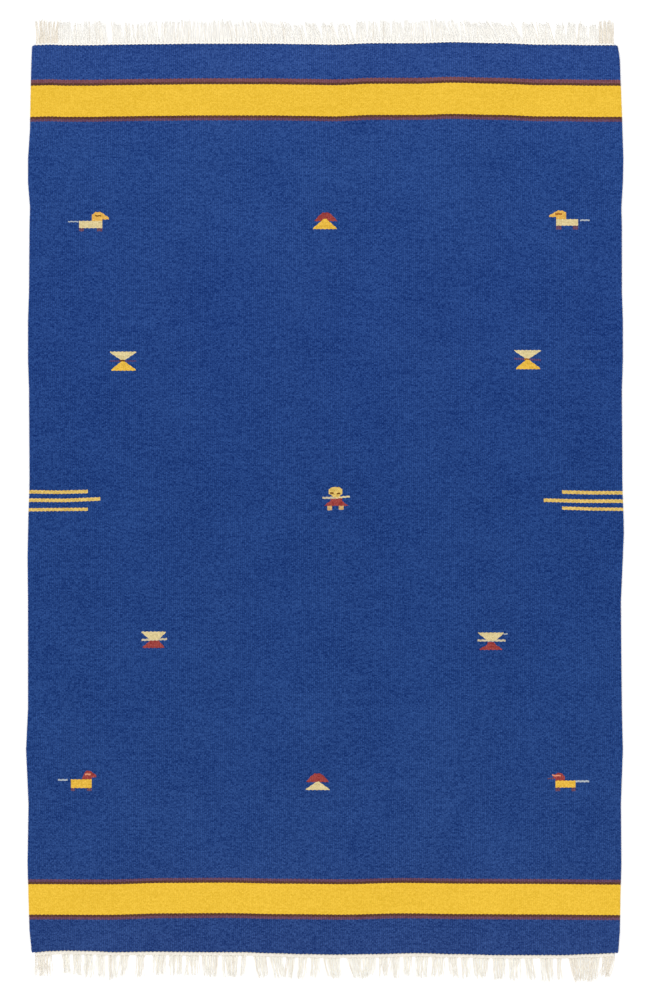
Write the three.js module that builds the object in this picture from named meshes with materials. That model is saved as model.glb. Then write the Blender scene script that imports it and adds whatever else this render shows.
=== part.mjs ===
// A flat-woven wool rug with a worn cotton fringe at both short ends, lying flat on a floor.
// Millimetres, +Z up. X runs across the rug, Y runs along it, and the floor is at Z = 0.

import * as THREE from "three";

// Woven cloth
const CLOTH_WIDTH = 1204;
const CLOTH_LENGTH = 1841;
const CLOTH_THICKNESS = 4;
const CORNER_ROUND = 3;
const CORNER_STEPS = 3;
const END_INSET = 8;
const SELVEDGE_STEP = 26;

// The weft turns back round every second warp, so both ends of the cloth have small teeth.
const TOOTH_COUNT = 146;
const TOOTH_DEPTH = 1.4;

// Fringe: a narrow strip of warp ends beside the cloth, and the strands that come out of it.
const SEAT_GAP = 0.3;
const FAR_STRIP_WIDTH = 4;
const NEAR_STRIP_WIDTH = 7.5;
const FRINGE_THICKNESS = { root: 3, tip: 1.8 };
const STRAND_WIDTH = { root: 5.4, tip: 3.2 };
const STRAND_STEPS = 3;
const STRAND_TIP_SPACING = 4;
const STRAND_LENGTH_VARIATION = 3;
const LEAN_REACH = 50;
const LEAN_BEND = 1.4;

const COLOURS = { wool: 0x26467f, cotton: 0xf0ebdf };
const ROUGHNESS = { wool: 0.95, cotton: 0.9 };

// How far each selvedge stands out of the cloth's nominal width, going down from the far end.
const SELVEDGES = [
  { fromFar: 0, left: -8, right: -8 },
  { fromFar: 30, left: -7, right: -4 },
  { fromFar: 60, left: -6, right: -3 },
  { fromFar: 110, left: -5, right: -1 },
  { fromFar: 170, left: -4, right: 1 },
  { fromFar: 230, left: 0, right: 3 },
  { fromFar: 280, left: 0, right: 2 },
  { fromFar: 330, left: -4, right: -1 },
  { fromFar: 370, left: -3, right: 0 },
  { fromFar: 500, left: -2, right: 0 },
  { fromFar: 560, left: 0, right: 2 },
  { fromFar: 640, left: 0, right: 2 },
  { fromFar: 700, left: -2, right: 0 },
  { fromFar: 880, left: -3, right: 1 },
  { fromFar: 990, left: 0, right: 4 },
  { fromFar: 1040, left: 1, right: 2 },
  { fromFar: 1130, left: 0, right: -2 },
  { fromFar: 1250, left: 0, right: -1 },
  { fromFar: 1345, left: 0, right: 0 },
  { fromFar: 1430, left: 4, right: 2 },
  { fromFar: 1540, left: -1, right: -2 },
  { fromFar: 1660, left: 1, right: -1 },
  { fromFar: 1730, left: -1, right: -3 },
  { fromFar: 1795, left: -3, right: -4 },
  { fromFar: 1841, left: -7, right: -7 },
];

// How far each end stands out of the cloth's nominal length, from the left selvedge to the right.
const ENDS = [
  { across: 0, far: -2, near: 0 },
  { across: 40, far: -1, near: -3 },
  { across: 75, far: -2, near: -4 },
  { across: 130, far: -2, near: -3 },
  { across: 175, far: -1, near: -1 },
  { across: 260, far: 0, near: -2 },
  { across: 350, far: 1, near: -1 },
  { across: 435, far: 1, near: -1 },
  { across: 490, far: 1, near: 1 },
  { across: 560, far: 0, near: 3 },
  { across: 620, far: -1, near: 4 },
  { across: 700, far: 2, near: 3 },
  { across: 790, far: 2, near: 1 },
  { across: 860, far: 4, near: 3 },
  { across: 955, far: 2, near: 5 },
  { across: 1040, far: -1, near: 5 },
  { across: 1085, far: -1, near: 5 },
  { across: 1140, far: -2, near: 3 },
  { across: 1204, far: -2, near: 1 },
];

// Stretches of each fringe, from left to right. A stretch has some bunches of so many strands, with
// so many places left empty after each bunch. The strands of a bunch draw together at their tips by
// a share of their spread, or fan out if it is negative, lean to the right or, if negative, to the
// left, and have a length from the cloth's edge.
const FAR_FRINGE = [
  { bunches: 1, strands: 6, empty: 0, gather: -0.2, lean: 0, length: 49 },
  { bunches: 2, strands: 4, empty: 0, gather: 0.2, lean: -1, length: 47 },
  { bunches: 1, strands: 5, empty: 1, gather: 0.1, lean: -6, length: 46 },
  { bunches: 1, strands: 3, empty: 0, gather: 0.3, lean: -7, length: 46 },
  { bunches: 3, strands: 3, empty: 0, gather: 0.2, lean: -3, length: 45 },
  { bunches: 4, strands: 4, empty: 0, gather: 0.1, lean: 2, length: 46 },
  { bunches: 4, strands: 3, empty: 0, gather: 0.2, lean: -8, length: 45 },
  { bunches: 3, strands: 3, empty: 0, gather: 0.1, lean: -10, length: 43 },
  { bunches: 3, strands: 4, empty: 0, gather: 0.3, lean: -11, length: 44 },
  { bunches: 5, strands: 3, empty: 0, gather: 0.25, lean: -1, length: 45 },
  { bunches: 1, strands: 6, empty: 0, gather: 0.1, lean: -2, length: 48 },
  { bunches: 3, strands: 3, empty: 0, gather: 0.2, lean: -11, length: 43 },
  { bunches: 4, strands: 3, empty: 0, gather: 0.1, lean: -26, length: 42 },
  { bunches: 2, strands: 4, empty: 0, gather: 0.35, lean: -10, length: 44 },
  { bunches: 4, strands: 3, empty: 0, gather: 0.4, lean: 0, length: 44 },
  { bunches: 1, strands: 4, empty: 0, gather: 0, lean: 0, length: 50 },
];
const NEAR_FRINGE = [
  { bunches: 1, strands: 4, empty: 3, gather: 0.1, lean: 0, length: 49 },
  { bunches: 2, strands: 2, empty: 1, gather: 0.4, lean: 3, length: 49 },
  { bunches: 3, strands: 2, empty: 1, gather: 0.2, lean: 0, length: 55 },
  { bunches: 2, strands: 2, empty: 2, gather: 0.3, lean: -5, length: 50 },
  { bunches: 3, strands: 3, empty: 1, gather: 0.2, lean: 0, length: 48 },
  { bunches: 2, strands: 4, empty: 1, gather: 0.3, lean: 0, length: 50 },
  { bunches: 1, strands: 1, empty: 2, gather: 0, lean: -4, length: 50 },
  { bunches: 2, strands: 3, empty: 1, gather: 0.2, lean: 9, length: 50 },
  { bunches: 2, strands: 2, empty: 1, gather: 0.3, lean: -5, length: 52 },
  { bunches: 1, strands: 2, empty: 1, gather: 0.3, lean: 0, length: 47 },
  { bunches: 1, strands: 4, empty: 2, gather: 0.3, lean: 9, length: 47 },
  { bunches: 1, strands: 7, empty: 1, gather: 0.45, lean: 6, length: 46 },
  { bunches: 3, strands: 2, empty: 1, gather: 0.3, lean: 0, length: 47 },
  { bunches: 2, strands: 3, empty: 1, gather: 0.4, lean: -1, length: 47 },
  { bunches: 2, strands: 2, empty: 1, gather: 0.3, lean: 6, length: 47 },
  { bunches: 1, strands: 4, empty: 1, gather: 0.4, lean: 2, length: 48 },
  { bunches: 2, strands: 3, empty: 1, gather: 0.2, lean: 1, length: 52 },
  { bunches: 1, strands: 2, empty: 2, gather: 0.3, lean: 7, length: 52 },
  { bunches: 1, strands: 3, empty: 1, gather: 0.4, lean: 2, length: 52 },
  { bunches: 1, strands: 1, empty: 2, gather: 0, lean: 0, length: 52 },
  { bunches: 1, strands: 8, empty: 1, gather: 0.35, lean: 2, length: 54 },
  { bunches: 1, strands: 3, empty: 0, gather: 0.2, lean: -9, length: 48 },
];

const FRINGES = {
  far: { side: 1, stripWidth: FAR_STRIP_WIDTH, seed: 1, stretches: FAR_FRINGE },
  near: { side: -1, stripWidth: NEAR_STRIP_WIDTH, seed: 1001, stretches: NEAR_FRINGE },
};

// Reads a table between its rows, easing from each row to the next.
function readTable(rows, place, column, at) {
  const last = rows.length - 1;
  const above = rows.findIndex((row) => row[place] > at);
  const next = above < 0 ? last : Math.max(above, 1);
  const from = rows[next - 1];
  const to = rows[next];
  const share = THREE.MathUtils.smoothstep(at, from[place], to[place]);
  return THREE.MathUtils.lerp(from[column], to[column], share);
}

function selvedgePoint(side, fromFar) {
  const out = CLOTH_WIDTH / 2 + readTable(SELVEDGES, "fromFar", side, fromFar);
  return new THREE.Vector2(side === "left" ? -out : out, CLOTH_LENGTH / 2 - fromFar);
}

// The smooth line that an end of the cloth follows, at a share of the way from corner to corner.
function endPoint(end, share) {
  const fromFar = end === "far" ? 0 : CLOTH_LENGTH;
  const left = selvedgePoint("left", fromFar).x + END_INSET;
  const right = selvedgePoint("right", fromFar).x - END_INSET;
  const out = CLOTH_LENGTH / 2 + readTable(ENDS, "across", end, share * CLOTH_WIDTH);
  return new THREE.Vector2(THREE.MathUtils.lerp(left, right, share), FRINGES[end].side * out);
}

// The same line with its teeth, as points from left to right.
function toothedEnd(end) {
  const points = [];
  for (let half = 0; half <= 2 * TOOTH_COUNT; half += 1) {
    const point = endPoint(end, half / (2 * TOOTH_COUNT));
    point.y += FRINGES[end].side * TOOTH_DEPTH * (half % 2 ? 0.5 : -0.5);
    points.push(point);
  }
  return points;
}

// A selvedge's points between the two corners, going down from the far end.
function selvedgeLine(side) {
  const straight = CLOTH_LENGTH - 2 * CORNER_ROUND;
  const steps = Math.round(straight / SELVEDGE_STEP);
  const points = [];
  for (let step = 0; step <= steps; step += 1) {
    points.push(selvedgePoint(side, CORNER_ROUND + (straight * step) / steps));
  }
  return points;
}

function clothGeometry() {
  const runs = [
    toothedEnd("near"),
    selvedgeLine("right").reverse(),
    toothedEnd("far").reverse(),
    selvedgeLine("left"),
  ];
  const outline = new THREE.Shape();
  outline.moveTo(runs[0][0].x, runs[0][0].y);
  runs.forEach((run, index) => {
    run.slice(1).forEach((point) => outline.lineTo(point.x, point.y));
    const nextRun = runs[(index + 1) % runs.length];
    const leaving = run[run.length - 1];
    const entering = nextRun[0];
    const alongEnd = index % 2 === 0;
    const corner = alongEnd ? [entering.x, leaving.y] : [leaving.x, entering.y];
    outline.quadraticCurveTo(corner[0], corner[1], entering.x, entering.y);
  });
  return new THREE.ExtrudeGeometry(outline, {
    depth: CLOTH_THICKNESS,
    bevelEnabled: false,
    curveSegments: CORNER_STEPS,
  });
}

// Works out each strand's root on the cloth's edge, how far its tip shifts sideways, and its length.
function layStrands(end) {
  const { seed, stretches } = FRINGES[end];
  const places = stretches.reduce((sum, row) => sum + row.bunches * (row.strands + row.empty), 0);
  const pitch = (endPoint(end, 1).x - endPoint(end, 0).x) / places;
  const strands = [];
  let place = 0;
  for (const row of stretches) {
    for (let bunch = 0; bunch < row.bunches; bunch += 1) {
      const middle = place + (row.strands - 1) / 2;
      for (let index = 0; index < row.strands; index += 1) {
        const root = endPoint(end, (place + 0.5) / places);
        const shift = row.lean + (middle - place) * pitch * row.gather;
        const chance = 2 * THREE.MathUtils.seededRandom(seed + place) - 1;
        strands.push({ root, shift, length: row.length + chance * STRAND_LENGTH_VARIATION });
        place += 1;
      }
      place += row.empty;
    }
  }
  keepApart(strands);
  return strands;
}

// Moves tips to the right where they would come too close to the tip before them.
function keepApart(strands) {
  for (let index = 1; index < strands.length; index += 1) {
    const before = strands[index - 1];
    const strand = strands[index];
    const leastTip = before.root.x + before.shift + STRAND_TIP_SPACING;
    strand.shift = Math.max(strand.shift, leastTip - strand.root.x);
  }
}

// A strand seen from above, narrowing to its tip: out along its right side, back along its left.
function strandOutline(end, strand) {
  const { side, stripWidth } = FRINGES[end];
  const right = [];
  const left = [];
  for (let step = 0; step <= STRAND_STEPS; step += 1) {
    const share = step / STRAND_STEPS;
    const distance = THREE.MathUtils.lerp(stripWidth, strand.length, share);
    const x = strand.root.x + strand.shift * ((distance - stripWidth) / LEAN_REACH) ** LEAN_BEND;
    const y = strand.root.y + side * distance;
    const halfWidth = THREE.MathUtils.lerp(STRAND_WIDTH.root, STRAND_WIDTH.tip, share) / 2;
    right.push(new THREE.Vector2(x + halfWidth, y));
    left.unshift(new THREE.Vector2(x - halfWidth, y));
  }
  return [...right, ...left];
}

// The strip's inner side follows the cloth's teeth at the seat gap, and its outer side has the strands.
function fringeOutline(end) {
  const { side, stripWidth } = FRINGES[end];
  const outward = (point, distance) => new THREE.Vector2(point.x, point.y + side * distance);
  const inner = toothedEnd(end).map((point) => outward(point, SEAT_GAP));
  const strands = layStrands(end).reverse().flatMap((strand) => strandOutline(end, strand));
  const corners = [1, 0].map((share) => outward(endPoint(end, share), stripWidth));
  return new THREE.Shape([...inner, corners[0], ...strands, corners[1]]);
}

// A fringe lies level on the floor, and its top slopes down from the strip to the strands' tips.
function fringeGeometry(end) {
  const geometry = new THREE.ExtrudeGeometry(fringeOutline(end), {
    depth: FRINGE_THICKNESS.root,
    bevelEnabled: false,
  });
  const stripEdge = CLOTH_LENGTH / 2 + FRINGES[end].stripWidth;
  const positions = geometry.attributes.position;
  for (let index = 0; index < positions.count; index += 1) {
    if (positions.getZ(index) > 0) {
      const beyond = Math.abs(positions.getY(index)) - stripEdge;
      const share = THREE.MathUtils.clamp(beyond / LEAN_REACH, 0, 1);
      positions.setZ(index, THREE.MathUtils.lerp(FRINGE_THICKNESS.root, FRINGE_THICKNESS.tip, share));
    }
  }
  geometry.computeVertexNormals();
  return geometry;
}

function addPart(group, name, geometry, yarn) {
  const material = new THREE.MeshStandardMaterial({
    color: COLOURS[yarn],
    roughness: ROUGHNESS[yarn],
    metalness: 0,
  });
  const mesh = new THREE.Mesh(geometry, material);
  mesh.name = name;
  group.add(mesh);
}

const rug = new THREE.Group();
addPart(rug, "woven_cloth", clothGeometry(), "wool");
addPart(rug, "fringe_far_end", fringeGeometry("far"), "cotton");
addPart(rug, "fringe_near_end", fringeGeometry("near"), "cotton");

// The origin is on the floor, under the middle of the whole rug with its fringes.
const middle = new THREE.Box3().setFromObject(rug).getCenter(new THREE.Vector3());
rug.position.set(-middle.x, -middle.y, 0);

export default rug;
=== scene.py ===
"""A flat-woven wool rug with a cotton fringe at both short ends, lying face up on a pale floor.

Sizes are in millimetres in the rug's own plane, X across and Y along it, until the meshes are made.
"Across" runs from the left selvedge to the right one, and "along" from the near end to the far end.
"""

import functools
import itertools
import math
import random

import bpy
import numpy as np
from mathutils import Color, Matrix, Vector


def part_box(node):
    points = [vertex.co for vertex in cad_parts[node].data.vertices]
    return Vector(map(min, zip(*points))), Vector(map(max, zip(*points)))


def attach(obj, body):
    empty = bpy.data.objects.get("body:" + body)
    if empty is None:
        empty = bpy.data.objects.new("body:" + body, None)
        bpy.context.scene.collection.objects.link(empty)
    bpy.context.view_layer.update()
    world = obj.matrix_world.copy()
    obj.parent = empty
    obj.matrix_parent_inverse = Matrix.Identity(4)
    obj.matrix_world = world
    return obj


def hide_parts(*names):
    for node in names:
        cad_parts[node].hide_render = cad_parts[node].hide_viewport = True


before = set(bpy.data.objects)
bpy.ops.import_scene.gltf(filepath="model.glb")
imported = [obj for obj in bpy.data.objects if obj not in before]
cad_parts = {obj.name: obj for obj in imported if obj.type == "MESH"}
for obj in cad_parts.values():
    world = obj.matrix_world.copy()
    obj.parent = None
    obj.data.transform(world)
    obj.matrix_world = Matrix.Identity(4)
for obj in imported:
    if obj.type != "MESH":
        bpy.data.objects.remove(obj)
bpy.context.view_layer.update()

# Metres in a millimetre
METRES = 0.001

# Half of a step, or the middle of a span from nothing to one
HALF = 0.5

UP = Vector((0, 0, 1))
SIGNS = {"left": -1, "right": 1, "near": -1, "far": 1}

# Woven cloth, as in the part's source
CLOTH_WIDTH = 1204
CLOTH_LENGTH = 1841
CLOTH_THICKNESS = 4
CORNER_ROUND = 3
CORNER_REACH = 16
TOOTH_DEPTH = 1.4

# The ribs that the warps make, and how the wefts lie on them
RIBS = 297
RIB_PITCH = CLOTH_WIDTH / RIBS
RIB_LINES = (0, 0.3, 0.7)
COLUMNS = RIBS * len(RIB_LINES)
RIB_RELIEF = 0.55
EDGE_ROLL = 1.3
LONGEST_STEP = 100
PICK_PITCH = 2.6
STEP_DEPTH = 0.9

# The least height of a patch in a column, the decimals that its edges keep, and a face's least corners
LEAST_PATCH = 0.2
EDGE_DECIMALS = 1
LEAST_CORNERS = 3

# The weave follows the wavering edges near them and runs straight in the calm middle, by shares of
# the way from the middle to the edge.
SIDE_WAVER = {"calm": 0.8, "full": 1}
END_WAVER = {"far": {"calm": 0.62, "full": 0.85}, "near": {"calm": 0.91, "full": 1}}

# The ribs wander sideways by a little, in waves across the rug whose places shift along it.
RIB_WANDER = 1
WANDER_ACROSS = 45
WANDER_ALONG = 170
WANDER_SHIFT = 1.5

# How far each selvedge stands out of the cloth's nominal width, going down from the far end.
SELVEDGES = [
    {"down": 0, "left": -8, "right": -8},
    {"down": 30, "left": -7, "right": -4},
    {"down": 60, "left": -6, "right": -3},
    {"down": 110, "left": -5, "right": -1},
    {"down": 170, "left": -4, "right": 1},
    {"down": 230, "left": 0, "right": 3},
    {"down": 280, "left": 0, "right": 2},
    {"down": 330, "left": -4, "right": -1},
    {"down": 370, "left": -3, "right": 0},
    {"down": 500, "left": -2, "right": 0},
    {"down": 560, "left": 0, "right": 2},
    {"down": 640, "left": 0, "right": 2},
    {"down": 700, "left": -2, "right": 0},
    {"down": 880, "left": -3, "right": 1},
    {"down": 990, "left": 0, "right": 4},
    {"down": 1040, "left": 1, "right": 2},
    {"down": 1130, "left": 0, "right": -2},
    {"down": 1250, "left": 0, "right": -1},
    {"down": 1345, "left": 0, "right": 0},
    {"down": 1430, "left": 4, "right": 2},
    {"down": 1540, "left": -1, "right": -2},
    {"down": 1660, "left": 1, "right": -1},
    {"down": 1730, "left": -1, "right": -3},
    {"down": 1795, "left": -3, "right": -4},
    {"down": 1841, "left": -7, "right": -7},
]

# How far each end stands out of the cloth's nominal length, from the left selvedge to the right.
ENDS = [
    {"across": 0, "far": -2, "near": 0},
    {"across": 40, "far": -1, "near": -3},
    {"across": 75, "far": -2, "near": -4},
    {"across": 130, "far": -2, "near": -3},
    {"across": 175, "far": -1, "near": -1},
    {"across": 260, "far": 0, "near": -2},
    {"across": 350, "far": 1, "near": -1},
    {"across": 435, "far": 1, "near": -1},
    {"across": 490, "far": 1, "near": 1},
    {"across": 560, "far": 0, "near": 3},
    {"across": 620, "far": -1, "near": 4},
    {"across": 700, "far": 2, "near": 3},
    {"across": 790, "far": 2, "near": 1},
    {"across": 860, "far": 4, "near": 3},
    {"across": 955, "far": 2, "near": 5},
    {"across": 1040, "far": -1, "near": 5},
    {"across": 1085, "far": -1, "near": 5},
    {"across": 1140, "far": -2, "near": 3},
    {"across": 1204, "far": -2, "near": 1},
]

# How far the near bands sag towards the near end, from the left selvedge to the right, and the shares
# of the way from the middle to the end where they start to, do and no longer do.
BAND_SAG = [
    {"across": 0, "out": 1},
    {"across": 160, "out": 1.5},
    {"across": 280, "out": -1.5},
    {"across": 400, "out": -2},
    {"across": 520, "out": 0},
    {"across": 640, "out": 1},
    {"across": 760, "out": -1.5},
    {"across": 890, "out": 0},
    {"across": 1010, "out": 0.5},
    {"across": 1204, "out": 2},
]
SAG_RISE = {"calm": 0.72, "full": 0.83}
SAG_FALL = {"calm": 0.93, "full": 0.98}

# Bands at each end of the cloth, from the end inwards, with their heights.
BANDS = {
    "far": [
        {"yarn": "blue", "high": 70},
        {"yarn": "maroon", "high": 7},
        {"yarn": "brown", "high": 5},
        {"yarn": "yellow", "high": 63},
        {"yarn": "brown", "high": 5},
        {"yarn": "mauve", "high": 5},
    ],
    "near": [
        {"yarn": "blue", "high": 68},
        {"yarn": "mauve", "high": 5},
        {"yarn": "brown", "high": 5},
        {"yarn": "yellow", "high": 61.5},
        {"yarn": "brown", "high": 5},
        {"yarn": "mauve", "high": 5},
    ],
}
FIELD_YARN = "blue"

# Animals by the middle of the body's lower edge. The head's sizes count from the body's front and top.
ANIMALS = [
    {"x": -476, "y": 548, "long": 47.5, "high": 14.5, "body": "cream", "head": "gold",
     "neck": 22, "brow": 12.5, "nape_lean": 1, "crown": 18, "crown_wide": 11,
     "beak": 14, "beak_low": 3, "beak_high": 6.5,
     "eye": "umber", "eye_back": -15, "eye_front": -2, "eye_low": 9, "eye_high": 11.5,
     "gap": 1, "tail": 21, "tail_low": -2.5, "tail_high": -0.3, "foot": 6.5, "foot_wide": 10},
    {"x": 491.5, "y": 553, "facing": -1, "long": 44, "high": 13, "body": "cream", "head": "gold",
     "neck": 20, "brow": 14, "nape_lean": 0, "crown": 17.5, "crown_wide": 9,
     "beak": 15, "beak_low": 4.5, "beak_high": 7.5,
     "eye": "rust", "eye_back": -12, "eye_front": 2, "eye_low": 8.5, "eye_high": 12.5,
     "gap": 4, "tail": 20, "tail_low": -3.5, "tail_high": -0.5, "foot": 8, "foot_wide": 10.5},
    {"x": -495, "y": -587, "long": 41.5, "high": 17.5, "body": "amber", "head": "red",
     "neck": 20, "brow": 13, "nape_lean": 6, "crown": 17.5, "crown_wide": 8,
     "beak": 10, "beak_low": 4, "beak_high": 8.5,
     "eye": "pink", "eye_back": -13, "eye_front": -1, "eye_low": 8.5, "eye_high": 12,
     "gap": 7, "tail": 18, "tail_low": -2.8, "tail_high": 0.5, "foot": 6, "foot_wide": 9},
    {"x": 489, "y": -586, "facing": -1, "long": 40.5, "high": 14, "body": "amber", "head": "red",
     "neck": 19, "brow": 9, "nape_lean": 1, "crown": 15.5, "crown_wide": 8,
     "beak": 6, "beak_low": 4, "beak_high": 9,
     "eye": "pink", "eye_back": -11, "eye_front": 0, "eye_low": 9, "eye_high": 11.5,
     "gap": 0, "tail": 26, "tail_low": -3.3, "tail_high": 0.5, "foot": 7.5, "foot_wide": 9},
]

# How far the crown stands back from the front of an animal's neck
CROWN_BACK = 3

# The fourth animal's open beak, beside its head: a level lower half and a slanted upper half.
OPEN_BEAK = {
    "x": 489, "y": -572, "facing": -1,
    "lower": {"left": 23, "right": 37, "low": 3, "high": 5.5},
    "upper": [(21, 7), (28, 11), (28, 14), (21, 10)],
}

# Plain hourglasses by the middle of the waist, and barred ones by the middle of the bar. Each cup goes
# from its neck to its rim, with a level lip beyond the rim.
PLAIN_HOURGLASSES = [
    {"x": -409, "y": 279, "waist": "umber", "bar_low": -2, "bar_high": 1, "tilt": 0},
    {"x": 411, "y": 282, "waist": "rust", "bar_low": -2, "bar_high": 2, "tilt": 1.4},
]
PLAIN_BAR_REACH = 27
PLAIN_WAIST = {"left": -7, "right": 5, "low": -1.5, "high": 2}
UPPER_CUP = {"neck": 2, "neck_span": (-4, 5), "rim": 16.5, "rim_span": (-26, 27), "lip": 18.5}
LOWER_CUP = {"neck": -1.5, "neck_span": (-3, 4), "rim": -17.5, "rim_span": (-23, 26), "lip": -20}
BARRED_HOURGLASSES = [
    {"x": -347, "y": -287, "top": 17, "left": -25, "right": 28, "rise": 2, "stray": 0,
     "red_top": -1, "waist": 10, "hips": -6, "hips_right": 15, "foot": 16},
    {"x": 337, "y": -288, "top": 16, "left": -27, "right": 28, "rise": 0, "stray": 8,
     "red_top": -3, "waist": 5, "hips": -9, "hips_right": 10, "foot": 19},
]
BARRED = {
    "bar_half": 2, "lip": 2, "foot_span": (-23, 22), "hips_middle": 1, "waist_left": -7,
    "neck_span": (-7, 9), "rim_span": (-25, 25), "stray_low": -4, "stray_high": -1.5,
}

# Tents by the middle of the base, with a roof that bends at its knee.
TENTS = [
    {"x": 0, "y": 546, "wall": "amber", "apex": 21, "roof": 2},
    {"x": -15, "y": -591, "wall": "cream", "apex": 17, "roof": 0},
]
TENT_ROOF = {"eaves": 16, "eaves_half": 23, "knee": 27, "knee_half": 14, "peak": 33.5, "peak_half": 6}
TENT_WALL = {"span": (-24, 24), "hem": 1.5, "apex_span": (-1.5, 2.5)}

# The small figure by its middle.
FIGURE = {
    "x": 22, "y": -1,
    "legs": [
        {"left": -17, "right": -8, "low": -23, "high": -13},
        {"left": 5, "right": 15, "low": -22, "high": -13},
    ],
    "dress": [
        {"low": -14, "low_span": (-23, 25), "high": -8, "high_span": (-17, 17)},
        {"low": -8, "low_span": (-17, 17), "high": -4, "high_span": (-11, 12)},
        {"low": -4, "low_span": (-11, 12), "high": 2, "high_span": (-11, 12)},
    ],
    "arms": [
        ("ash", [(-27, 0), (0, 0.5), (0, 4.5), (-27, 4)]),
        ("cream", [(0, 0.8), (28, 3.3), (28, 6.7), (0, 4.2)]),
    ],
    "head": [
        {"low": 3, "low_span": (-4, 5), "high": 10, "high_span": (-13, 11)},
        {"low": 10, "low_span": (-14, 12), "high": 20, "high_span": (-14, 12)},
        {"low": 20, "low_span": (-14, 12), "high": 24, "high_span": (-7, 6)},
    ],
    "eyes": [
        {"left": -12, "right": -5, "low": 10, "high": 13.5},
        {"left": 2, "right": 9, "low": 9.5, "high": 12.5},
    ],
}

# Comb bars: the side they start from, the tip, their height, and their middle line at the selvedge,
# halfway and at the tip.
COMB_YARN = "straw"
COMB_BARS = [
    {"side": "left", "tip": -481, "high": 7, "line": (13.5, 12.5, 14)},
    {"side": "left", "tip": -456, "high": 7, "line": (-3.5, -4, -1)},
    {"side": "left", "tip": -481, "high": 6.3, "line": (-23, -22.5, -22)},
    {"side": "right", "tip": 481, "high": 7, "line": (11.5, 11.5, 13)},
    {"side": "right", "tip": 444, "high": 7, "line": (-5.5, -5.5, -3.5)},
    {"side": "right", "tip": 481, "high": 6.3, "line": (-22, -21.5, -19.5)},
]

# Yarn colours as red, green and blue out of the full value, and how far the flecks stray from them.
FULL_COLOUR = 255
YARNS = {
    "blue": {"colour": (36, 67, 130), "fleck": 25},
    "yellow": {"colour": (240, 195, 61), "fleck": 14},
    "amber": {"colour": (232, 186, 70), "fleck": 21},
    "gold": {"colour": (230, 180, 86), "fleck": 21},
    "straw": {"colour": (221, 187, 102), "fleck": 28},
    "camel": {"colour": (206, 168, 110), "fleck": 21},
    "cream": {"colour": (222, 204, 152), "fleck": 21},
    "ash": {"colour": (204, 192, 162), "fleck": 21},
    "white": {"colour": (174, 182, 188), "fleck": 13},
    "red": {"colour": (155, 66, 63), "fleck": 21},
    "pink": {"colour": (222, 145, 115), "fleck": 13},
    "maroon": {"colour": (122, 77, 84), "fleck": 16},
    "mauve": {"colour": (104, 71, 92), "fleck": 16},
    "plum": {"colour": (86, 66, 108), "fleck": 16},
    "brown": {"colour": (92, 61, 50), "fleck": 14},
    "umber": {"colour": (112, 66, 20), "fleck": 13},
    "rust": {"colour": (172, 108, 44), "fleck": 13},
}
COTTON = {
    "pale": {"light": (255, 253, 247), "dark": (252, 248, 240)},
    "ecru": {"light": (254, 251, 240), "dark": (250, 245, 232)},
    "tan": {"light": (248, 241, 228), "dark": (235, 225, 208)},
    "twine": {"light": (242, 236, 225), "dark": (225, 219, 206)},
}

# How much a yarn's paint is lifted, because its neighbours take some of its light
COTTON_LIFT = 1.15

# The blue dye's slow change, from the near end to the far end
ABRASH = [
    {"along": 0.0, "colour": (43, 69, 127)},
    {"along": 0.12, "colour": (38, 68, 128)},
    {"along": 0.3, "colour": (35, 66, 127)},
    {"along": 0.5, "colour": (34, 65, 127)},
    {"along": 0.7, "colour": (36, 67, 131)},
    {"along": 0.88, "colour": (39, 71, 135)},
    {"along": 1.0, "colour": (46, 76, 142)},
]

# The strip at the fringe's roots. Its inset at both ends is counted in ribs.
STRIP_HEIGHT = 3
STRIP_GAP = 0.2
STRIP_ROLL = 0.8
STRIP_INSET = 2

# The locks of a fringe
TIP_SPACING = 4
LENGTH_VARIATION = 3
LEAN_REACH = 50
LEAN_BEND = 1.4
YARNS_IN_LOCK = 8

# A yarn's form: it thins from its middle on, and the margin keeps its seam within its own number.
YARN_RADIUS = 0.55
YARN_FLATNESS = 0.5
YARN_SIDES = 5
YARN_STEPS = 9
TIP_THICKNESS = 0.55
THINS_FROM = 0.5
SEAM_MARGIN = 0.01

# How a yarn lies: how deep it starts in the strip, and the spans of its random values. It sways fully
# from half its length on, and lies on the floor from a third of it. The power lets only a few yarns
# stray far from their lock.
YARN_TUCK = 1.5
ROOT_JITTER = 0.2
YARN_SWAY = (0.2, 1.0)
YARN_TURNS = (0.6, 1.5)
YARN_LENGTH_CHANGE = (-4, 3)
YARN_HEIGHTS = (0, 0.2, 0.4, 0.6)
SWAY_RATE = 2
SETTLE_RATE = 3
STRAY_POWER = 3

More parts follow.
